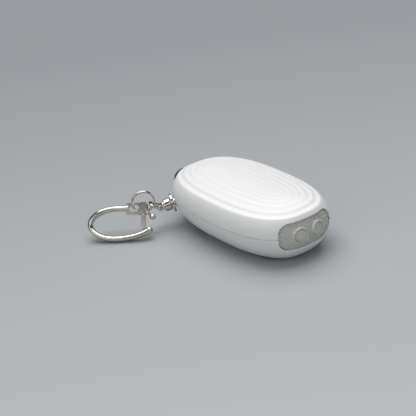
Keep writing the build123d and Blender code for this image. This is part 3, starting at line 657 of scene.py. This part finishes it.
def blank_material(name):
    """New material without nodes but its object coordinates; also returns its tree and those."""
    material = bpy.data.materials.new(name)
    material.use_nodes = True
    tree = material.node_tree
    tree.nodes.clear()
    return material, tree, add(tree, "ShaderNodeTexCoord").outputs["Object"]


def finish(name, colour, roughness, metallic=0.0, drift=0.04, patch=3.0, grain=0.15, bump=0.004, **shader):
    """Principled finish whose colour and gloss drift over patches, with a fine grain.

    patch and grain are feature sizes in millimetres, and bump is the grain's height in
    millimetres. drift is the share by which the colour darkens in places. The roughness
    varies by three times that share either way.
    """
    material, tree, place = blank_material(name)
    broad = add(tree, "ShaderNodeTexNoise", {"Vector": place, "Scale": 1 / (patch * METRE), "Detail": 3.0})
    fine = add(tree, "ShaderNodeTexNoise", {"Vector": place, "Scale": 1 / (grain * METRE), "Detail": 2.0})
    base = linear(colour)
    dark = tuple(c * (1 - drift) for c in base[:3]) + (1.0,)
    tone = add(tree, "ShaderNodeMix", {
        "Factor": broad.outputs["Fac"], "A": dark, "B": base,
    }, data_type="RGBA")
    gloss_drift = 3 * drift
    gloss = add(tree, "ShaderNodeMapRange", {
        "Value": broad.outputs["Fac"],
        "To Min": roughness * (1 - gloss_drift), "To Max": roughness * (1 + gloss_drift),
    })
    relief = add(tree, "ShaderNodeBump", {
        "Height": fine.outputs["Fac"], "Distance": bump * METRE, "Strength": 0.6,
    })
    surface = add(tree, "ShaderNodeBsdfPrincipled", {
        "Base Color": tone.outputs["Result"], "Roughness": gloss.outputs["Result"],
        "Metallic": metallic, "Normal": relief.outputs["Normal"], **shader,
    })
    add(tree, "ShaderNodeOutputMaterial", {"Surface": surface.outputs[0]})
    return material


# %% Finishes
finishes = {
    # glossy white moulded plastic: nearly neutral, a broad soft sheen
    "white_case": finish("white_abs", "#F0F1F0", 0.34, drift=0.01, patch=8, grain=0.25, bump=0.002),
    # clear acrylic: slightly see-through, with a clean gloss on the facets of its knurl
    "clear_window": finish("clear_acrylic", "#DDDED9", 0.08, drift=0.02, Alpha=0.85, IOR=1.49),
    # silvered plastic behind the window: pale, a soft sheen
    "bright_block": finish("silvered_plastic", "#E4E4E0", 0.4, drift=0.03),
    # water-clear lamp resin: pale, with small sharp glints
    "clear_lamp": finish(
        "clear_epoxy", "#EEEEE6", 0.05, drift=0.01, **{"Transmission Weight": 0.3, "IOR": 1.55},
    ),
    # green solder mask, darker in patches
    "board": finish("solder_mask", "#1E5A34", 0.35, drift=0.12, patch=1.5),
    # matt black moulded package: near black, a wide dull sheen
    "black_part": finish("black_epoxy", "#1B1C1D", 0.5, drift=0.1),
    # enamelled copper winding: warm, blotched from turn to turn
    "winding": finish("enamelled_copper", "#B0632F", 0.3, metallic=0.9, drift=0.15, patch=0.4),
    # drawn aluminium can: cool light grey, a soft reflection
    "can": finish("drawn_aluminium", "#C3C6C8", 0.28, metallic=1.0, drift=0.05),
    # brass sheet: warm yellow, slightly dulled
    "brass": finish("brass_sheet", "#C9A24E", 0.3, metallic=1.0, drift=0.08),
    # fired ceramic layer: chalky, hardly any highlight
    "ceramic": finish("piezo_ceramic", "#DAD6C8", 0.6, drift=0.04),
    # grey inner moulding: even mid grey, a weak sheen
    "inner_plastic": finish("grey_abs", "#8F9294", 0.45, drift=0.04),
    # nickelled steel of the cells' cans and the pin's bush: bright, a soft sheen
    "cell_steel": finish("cell_can_steel", "#C8C9C6", 0.22, metallic=1.0, drift=0.04),
    # spring-tempered contact strip: plain steel grey, a fairly clear reflection
    "spring_steel": finish("contact_strip", "#B4B6B4", 0.3, metallic=1.0, drift=0.06),
    # zinc-plated screw: darker grey, dull in patches
    "screw_steel": finish("zinc_screw", "#A9ABAD", 0.34, metallic=1.0, drift=0.1, patch=0.8),
    # dark soft-touch key: near black, a fine grain and no sharp highlight
    "dark_button": finish("soft_touch_rubber", "#27292B", 0.5, drift=0.1, patch=2.0, bump=0.006),
    # polished nickel plate: clear dark and light bands, faintly warm
    "chain_metal": finish(
        "polished_nickel", "#D8D4CC", 0.12, metallic=1.0, drift=0.05, patch=2.0, grain=0.4, bump=0.001,
    ),
}
print("finishes:", len(finishes))

# %% Finish of each piece
node_slots = {
    "top_cover": "white_case", "bottom_cover": "white_case", "battery_door": "white_case",
    "front_lens": "clear_window", "light_reflector": "bright_block",
    "led_near": "clear_lamp", "led_far": "clear_lamp", "circuit_board": "board",
    "siren_chip": "black_part", "step_up_coil": "winding", "capacitor": "can",
    "piezo_plate": "brass", "piezo_ceramic": "ceramic", "sounder_ring": "inner_plastic",
    "battery_cells": "cell_steel", "battery_contact": "spring_steel", "battery_spring": "spring_steel",
    "door_screw": "screw_steel", "case_screws": "screw_steel", "light_button": "dark_button",
    "light_switch": "black_part", "pin_switch": "black_part", "pin_bush": "cell_steel",
    "pull_pin": "chain_metal", "pin_collar": "chain_metal", "swivel_barrel": "chain_metal",
    "swivel_link": "chain_metal", "jump_ring": "chain_metal", "snap_hook": "chain_metal",
    "gate_rivet": "chain_metal", "snap_gate": "chain_metal", "gate_spring": "spring_steel",
}
for name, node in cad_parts.items():
    node.data.materials.clear()
    node.data.materials.append(finishes[node_slots[name]])
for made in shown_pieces():
    if "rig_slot" in made:
        made.data.materials.append(finishes[made["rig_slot"]])

# %% [markdown]
# ## Floor, light and camera
#
# The photograph is a product shot on a seamless grey sheet. A large soft box hangs over
# and behind the object, so the crown is bright, the near side falls off and the shadow
# comes towards the camera. Two weaker boxes lift the near side and the window end, and a
# small card beside the camera puts bright lines on the metal. The sheet's colour darkens
# slightly towards the back, which is painted shade. One bright sky could light it all, but
# the shadow would lose its side.


# %% Directions and placing
def direction(azimuth, elevation):
    """Way towards an azimuth, from 0 at -Y to a right angle at +X, and an elevation."""
    level = np.cos(elevation)
    return np.array([np.sin(azimuth) * level, -np.cos(azimuth) * level, np.sin(elevation)])


def stand(name, data, across, upward, backward, place):
    """Object whose own x, y and z axes and place, in metres, are its matrix's columns."""
    matrix = np.eye(4)
    matrix[:3] = np.column_stack([across, upward, backward, place])
    made = bpy.data.objects.new(name, data)
    made.matrix_world = Matrix(matrix)
    bpy.context.scene.collection.objects.link(made)
    return made


# %% Camera
# The angles, the distance and the scale lay the case's outline over the photograph's.
azimuth, elevation, roll = np.radians([57.69, 25.01, -7.94])
distance, pixels_per_mm, image_size = 569.94, 2.81, 416
target = np.array([-10.62, -10.58, 10.0])
back = direction(azimuth, elevation)
level = unit(np.cross(-back, UP))
up = np.cross(level, -back)
right = np.cos(roll) * level + np.sin(roll) * up
up = np.cos(roll) * up - np.sin(roll) * level
camera_place = (target + back * distance) * METRE
camera_data = bpy.data.cameras.new("camera")
camera_data.sensor_width = 36
camera_data.lens = pixels_per_mm * distance / image_size * camera_data.sensor_width
camera_data.clip_start, camera_data.clip_end = 0.05, 50
bpy.context.scene.camera = stand("camera", camera_data, right, up, back, camera_place)
print("camera at", camera_place.round(4), "lens", round(camera_data.lens, 2))


# %% Floor
sheet_half, sheet_drop = 2.0, 0.00002
# the sheet's two tones are painted shade, darker away from the camera
shade_far, shade_near = -0.21, 0.13    # where the sheet's two tones lie, in metres towards the camera


def painted_shade_sheet_finish():
    """Matt grey paper whose colour is painted a little darker away from the camera, as painted shade.

    Its tone follows x * sin(azimuth) - y * cos(azimuth), the level way towards the camera.
    """
    material, tree, place = blank_material("seamless_paper_painted_shade")
    parts = add(tree, "ShaderNodeSeparateXYZ", {"Vector": place})
    terms = [
        add(tree, "ShaderNodeMath", {0: parts.outputs[axis], 1: float(share)}, operation="MULTIPLY")
        for axis, share in (("X", np.sin(azimuth)), ("Y", -np.cos(azimuth)))
    ]
    links = {k: term.outputs[0] for k, term in enumerate(terms)}
    depth = add(tree, "ShaderNodeMath", links, operation="ADD")
    shade = add(tree, "ShaderNodeMapRange", {
        "Value": depth.outputs[0], "From Min": shade_far, "From Max": shade_near,
    })
    # painted shade: the paper's colour runs from darker at the back to lighter towards the camera
    tone = add(tree, "ShaderNodeMix", {
        "Factor": shade.outputs["Result"], "A": linear("#8F9397"), "B": linear("#B4B8BB"),
    }, data_type="RGBA")
    surface = add(tree, "ShaderNodeBsdfPrincipled", {
        "Base Color": tone.outputs["Result"], "Roughness": 0.9,
    })
    add(tree, "ShaderNodeOutputMaterial", {"Surface": surface.outputs[0]})
    return material


corners = [(x * sheet_half, y * sheet_half, 0) for x, y in ((-1, -1), (1, -1), (1, 1), (-1, 1))]
sheet = bpy.data.meshes.new("paper_sheet")
sheet.from_pydata(corners, [], [(0, 1, 2, 3)])
paper = bpy.data.objects.new("paper_sheet", sheet)
paper.location = (0, 0, -sheet_drop)
paper.data.materials.append(painted_shade_sheet_finish())
bpy.context.scene.collection.objects.link(paper)
print("paper sheet:", 2 * sheet_half, "m wide")


# %% Lights
def soft_box(name, azimuth_deg, elevation_deg, distance, size, watts):
    """Square area light, with size and distance in metres, that faces the object."""
    way = direction(*np.radians([azimuth_deg, elevation_deg]))
    side = unit(np.cross(UP, way))
    data = bpy.data.lights.new(name, "AREA")
    data.size, data.energy = size, watts
    stand(name, data, side, np.cross(way, side), way, way * distance)
    print(f"{name}: {watts} W, {size} m wide, {elevation_deg} degrees up")


# name, azimuth and elevation in degrees, distance and width in metres, watts
soft_box("overhead_box", 237.69, 72, 1.1, 1.3, 15.6)
soft_box("near_side_fill", 8, 31, 1.3, 1.0, 3.2)
soft_box("front_fill", 85, 38, 1.3, 0.8, 2.2)
soft_box("metal_card", 60, 32, 1.3, 0.5, 0.7)
world = bpy.data.worlds.new("studio")
world.use_nodes = True
background = world.node_tree.nodes["Background"]
background.inputs["Color"].default_value = linear("#F2F3F3")
background.inputs["Strength"].default_value = 0.035
bpy.context.scene.world = world
bpy.context.scene.view_settings.view_transform = "Standard"
